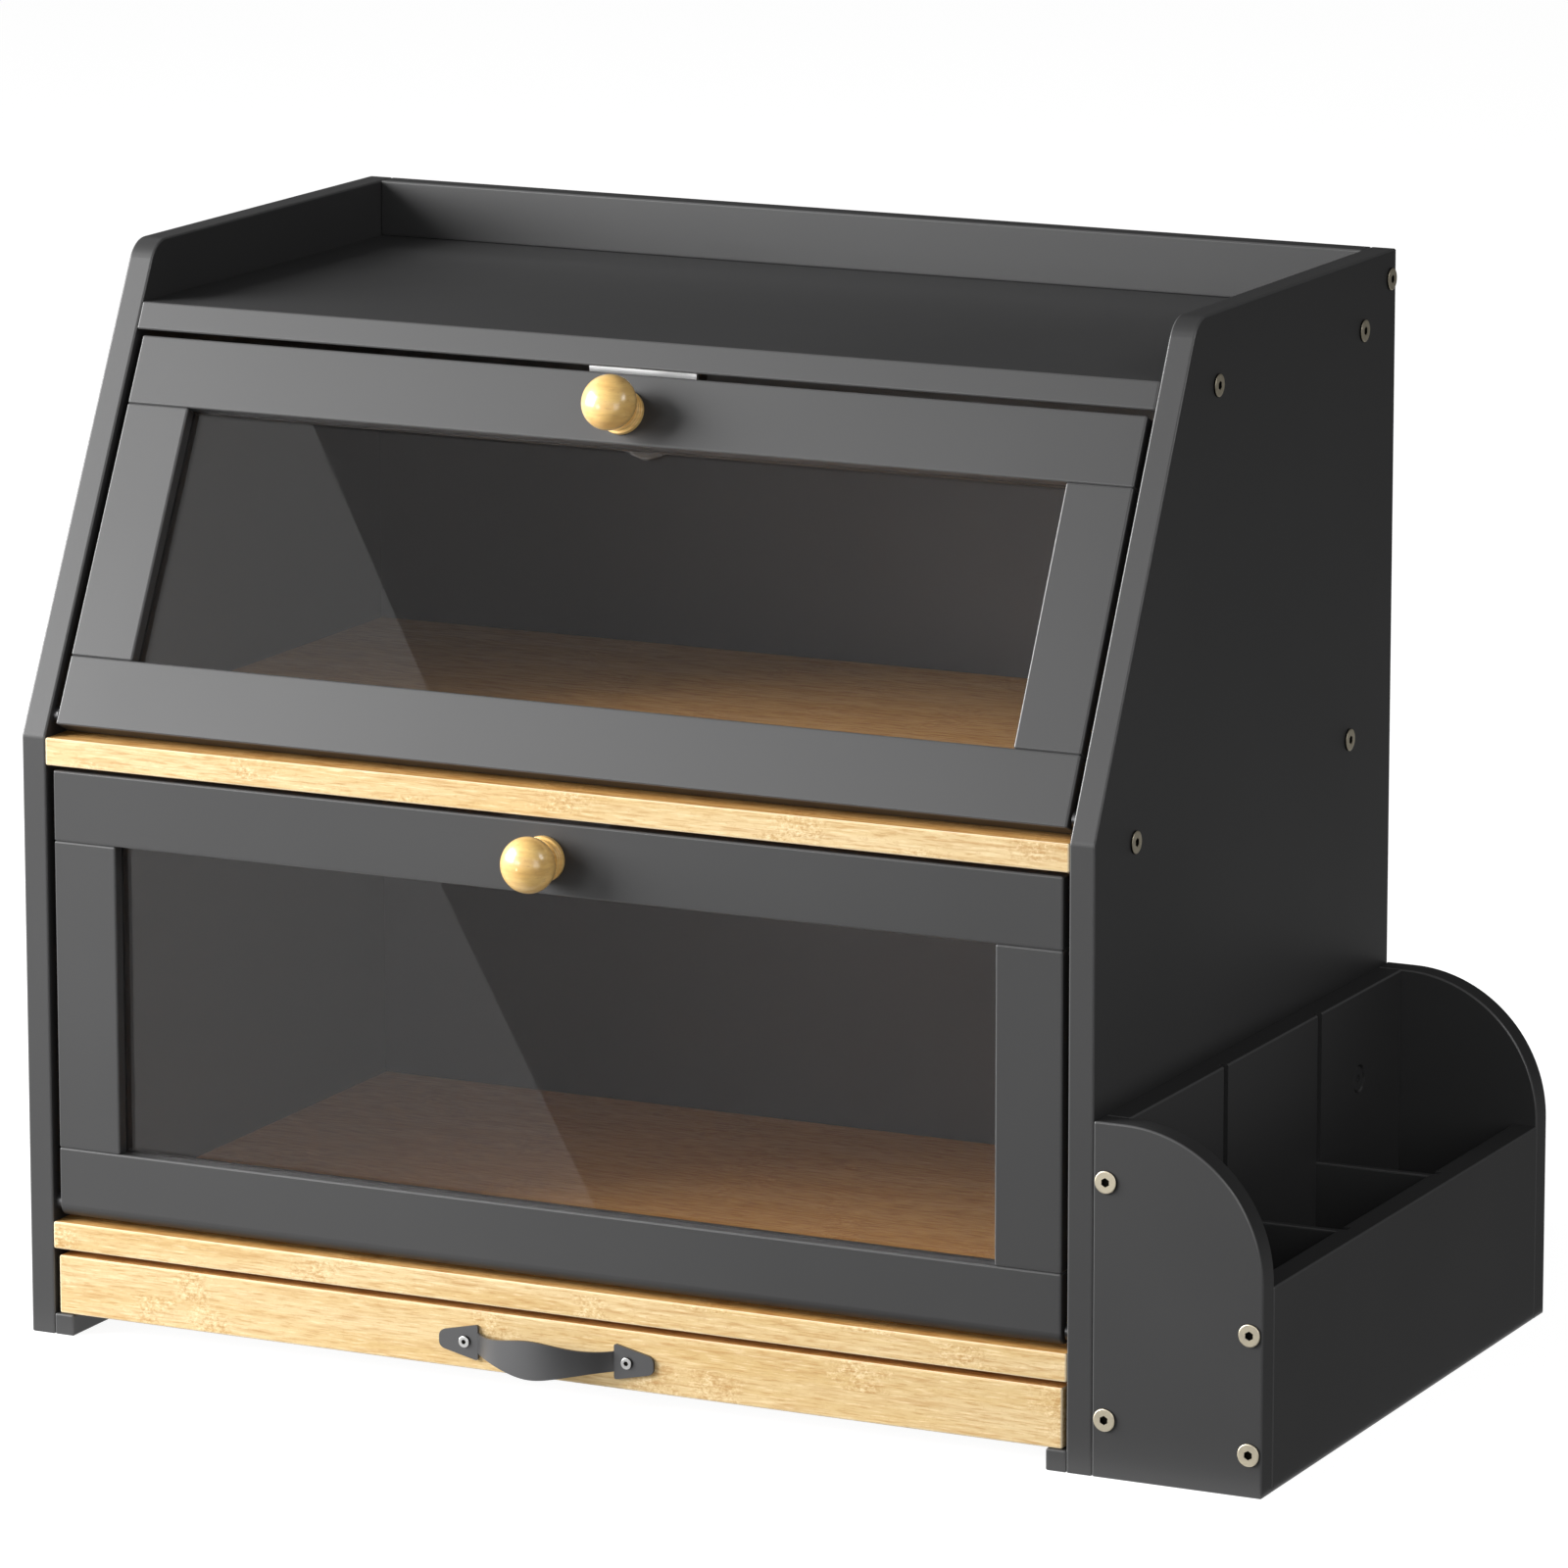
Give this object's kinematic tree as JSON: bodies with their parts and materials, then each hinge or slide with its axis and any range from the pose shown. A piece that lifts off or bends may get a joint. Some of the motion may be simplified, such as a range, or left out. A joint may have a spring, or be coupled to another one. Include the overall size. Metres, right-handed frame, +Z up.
{
  "type": "bread box with drawer",
  "caption": "Countertop bread box with two flip-down glazed doors, a shallow drawer under them, a tray on top and an open caddy on its side.",
  "frame": {"origin": "centre of the bounding box on the surface that the box stands on", "axes": "+X to the right as seen from the front, where the caddy is, +Y from the doors to the back, +Z up"},
  "size_m": [0.5068, 0.295, 0.4065],
  "materials": {
    "painted_board": "satin dark grey paint on smooth board",
    "bamboo": "clear matte lacquer on laminated bamboo",
    "knob_wood": "clear gloss lacquer on turned light wood",
    "pane": "clear",
    "brass_screw": "pale brass plating, satin",
    "black_steel": "matte black powder coat",
    "steel": "nickel plated"
  },
  "bodies": {
    "cabinet": {"left_side_panel": "painted_board", "right_side_panel": "painted_board", "top_shelf": "painted_board", "back_rail": "painted_board", "back_panel": "painted_board", "mid_shelf": "bamboo", "lower_shelf": "bamboo", "runner_left": "painted_board", "runner_right": "painted_board", "left_panel_screws": "brass_screw", "right_panel_screws": "brass_screw", "runner_screws": "steel", "upper_door_stop": "painted_board", "lower_door_stop": "painted_board", "upper_catch_magnet": "steel", "lower_catch_magnet": "steel", "upper_door_pins": "black_steel", "lower_door_pins": "black_steel", "caddy_front": "painted_board", "caddy_back": "painted_board", "caddy_inner_side": "painted_board", "caddy_outer_side": "painted_board", "caddy_bottom": "painted_board", "caddy_screws": "brass_screw", "caddy_mount_screws": "black_steel"},
    "upper_door": {"upper_door_bottom_rail": "painted_board", "upper_door_top_rail": "painted_board", "upper_door_left_stile": "painted_board", "upper_door_right_stile": "painted_board", "upper_door_window_pane": "pane", "upper_door_strike_plate": "steel", "upper_door_knob": "knob_wood", "upper_door_knob_screw": "steel"},
    "lower_door": {"lower_door_bottom_rail": "painted_board", "lower_door_top_rail": "painted_board", "lower_door_left_stile": "painted_board", "lower_door_right_stile": "painted_board", "lower_door_window_pane": "pane", "lower_door_strike_plate": "steel", "lower_door_knob": "knob_wood", "lower_door_knob_screw": "steel"},
    "drawer": {"drawer_front": "bamboo", "drawer_side_left": "painted_board", "drawer_side_right": "painted_board", "drawer_back": "painted_board", "drawer_bottom": "painted_board", "drawer_handle": "black_steel", "handle_screws": "steel"},
    "divider_front": {"divider_front": "painted_board"},
    "divider_rear": {"divider_rear": "painted_board"}
  },
  "joints": [
    {"name": "upper_door_hinge", "type": "hinge", "parent": "cabinet", "child": "upper_door", "pos_m": [-0.0326, -0.11796, 0.23761], "axis": [1, 0, 0], "range_deg": [0, 116.56]},
    {"name": "lower_door_hinge", "type": "hinge", "parent": "cabinet", "child": "lower_door", "pos_m": [-0.0326, -0.1214, 0.051], "axis": [1, 0, 0], "range_deg": [0, 90]},
    {"name": "drawer_slide", "type": "slide", "parent": "cabinet", "child": "drawer", "axis": [0, -1, 0], "range_m": [0, 0.19]},
    {"name": "divider_front_lift", "type": "slide", "parent": "cabinet", "child": "divider_front", "axis": [0, 0, 1], "range_m": [0, 0.13]},
    {"name": "divider_rear_lift", "type": "slide", "parent": "cabinet", "child": "divider_rear", "axis": [0, 0, 1], "range_m": [0, 0.13]}
  ]
}
